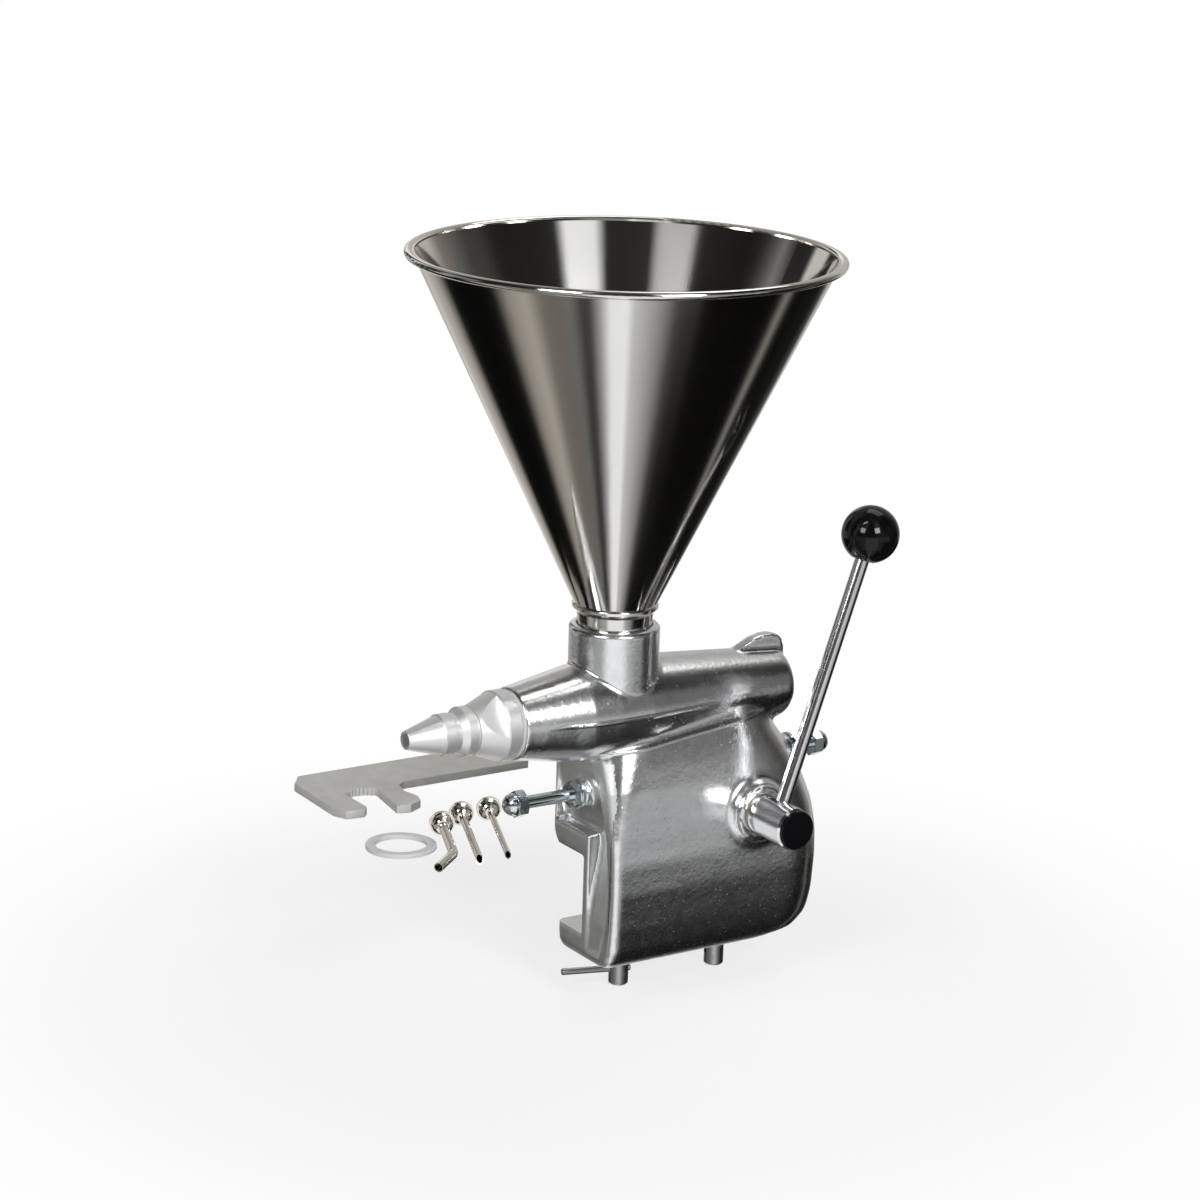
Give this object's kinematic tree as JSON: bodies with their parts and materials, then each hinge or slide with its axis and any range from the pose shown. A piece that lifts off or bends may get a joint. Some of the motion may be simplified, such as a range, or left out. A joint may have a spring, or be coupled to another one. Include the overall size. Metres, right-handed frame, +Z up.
{
  "type": "donut filler machine",
  "caption": "Table-clamped hand pump for filling pastry: steel hopper on a cast aluminium pump body, side lever with ball knob, screw-on nozzle, stroke stop screws and loose accessories",
  "frame": {"origin": "on the hook's underside, which lies on the tabletop: straight below the hopper's axis, in the pump barrel's centre plane", "axes": "+Z up along the hopper's axis, -X the way the nozzle points, +Y from the casing towards the table"},
  "size_m": [0.3465, 0.3686, 0.524],
  "materials": {
    "cast_aluminium": "tumbled and polished casting with fine pits",
    "cover_aluminium": "milled, satin",
    "cover_screw_steel": "turned, bright",
    "bush_bronze": "turned bronze",
    "shaft_steel": "ground and polished",
    "washer_steel": "pressed, bright",
    "ring_steel": "black oxide",
    "rocker_steel": "milled, satin",
    "piston_steel": "turned and polished stainless",
    "seal_rubber": "smooth moulded",
    "hub_steel": "turned and polished",
    "black_plastic": "high gloss black",
    "zinc_steel": "bright zinc, slightly blue",
    "clamp_steel": "turned, dull",
    "pad_steel": "turned, dull",
    "hopper_steel": "spun stainless, polished with fine upright grain",
    "spigot_steel": "turned stainless, bright",
    "clear_silicone": "translucent white silicone",
    "nozzle_aluminium": "turned, matt white aluminium",
    "spanner_aluminium": "sawn flat bar, matt grey",
    "spout_steel": "bright tube with domed base"
  },
  "bodies": {
    "frame": {"body_casting": "cast_aluminium", "side_cover": "cover_aluminium", "cover_screws": "cover_screw_steel", "near_bush": "bush_bronze", "far_bush": "bush_bronze", "spigot_seal": "clear_silicone", "nozzle_gasket": "clear_silicone", "hook_spanner": "spanner_aluminium", "spare_gasket": "clear_silicone", "bent_spout": "spout_steel", "wide_spout": "spout_steel", "narrow_spout": "spout_steel"},
    "lever": {"cross_shaft": "shaft_steel", "shaft_washer": "washer_steel", "retaining_ring": "ring_steel", "rocker_arm": "rocker_steel", "rocker_set_screw": "ring_steel", "drive_pin": "shaft_steel", "lever_hub": "hub_steel", "hub_end_cap": "black_plastic", "lever_rod": "shaft_steel", "ball_knob": "black_plastic"},
    "plunger": {"piston": "piston_steel", "piston_seals": "seal_rubber"},
    "hopper": {"hopper_cone": "hopper_steel", "hopper_spigot": "spigot_steel"},
    "union": {"nozzle_union": "nozzle_aluminium"},
    "tip": {"nozzle_tip": "nozzle_aluminium"},
    "front_stop": {"front_stop_screw": "zinc_steel", "front_acorn_nut": "zinc_steel", "front_lock_nut": "zinc_steel", "front_washer": "zinc_steel"},
    "rear_stop": {"rear_stop_screw": "zinc_steel", "rear_acorn_nut": "zinc_steel", "rear_lock_nut": "zinc_steel", "rear_washer": "zinc_steel"},
    "front_clamp": {"front_clamp_screw": "clamp_steel", "front_clamp_pad": "pad_steel"},
    "rear_clamp": {"rear_clamp_screw": "clamp_steel", "rear_clamp_pad": "pad_steel"},
    "tommy": {"tommy_bar": "clamp_steel"}
  },
  "joints": [
    {"name": "lever_hinge", "type": "hinge", "parent": "frame", "child": "lever", "pos_m": [0.09502, 0, 0.025], "axis": [0, -1, 0], "range_deg": [0, 34]},
    {"name": "piston_slide", "type": "slide", "parent": "frame", "child": "plunger", "axis": [-1, 0, 0], "range_m": [0, 0.04679]},
    {"name": "hopper_lift", "type": "slide", "parent": "frame", "child": "hopper", "axis": [0, 0, 1], "range_m": [0, 0.06]},
    {"name": "union_slide", "type": "slide", "parent": "frame", "child": "union", "axis": [-1, 0, 0], "range_m": [0, 0.04]},
    {"name": "tip_slide", "type": "slide", "parent": "union", "child": "tip", "axis": [-1, 0, 0], "range_m": [0, 0.03]},
    {"name": "front_stop_slide", "type": "slide", "parent": "frame", "child": "front_stop", "axis": [-1, 0, 0], "range_m": [0, 0.015]},
    {"name": "rear_stop_slide", "type": "slide", "parent": "frame", "child": "rear_stop", "axis": [1, 0, 0], "range_m": [0, 0.015]},
    {"name": "front_clamp_slide", "type": "slide", "parent": "frame", "child": "front_clamp", "axis": [0, 0, 1], "range_m": [-0.011, 0.015]},
    {"name": "rear_clamp_slide", "type": "slide", "parent": "frame", "child": "rear_clamp", "axis": [0, 0, 1], "range_m": [-0.011, 0.015]},
    {"name": "tommy_slide", "type": "slide", "parent": "front_clamp", "child": "tommy", "axis": [0.9542, -0.299, 0], "range_m": [0, 0.032]}
  ],
  "couplings": [
    {"joint": "piston_slide", "follows": "lever_hinge", "m_per_rad": 0.078771}
  ]
}
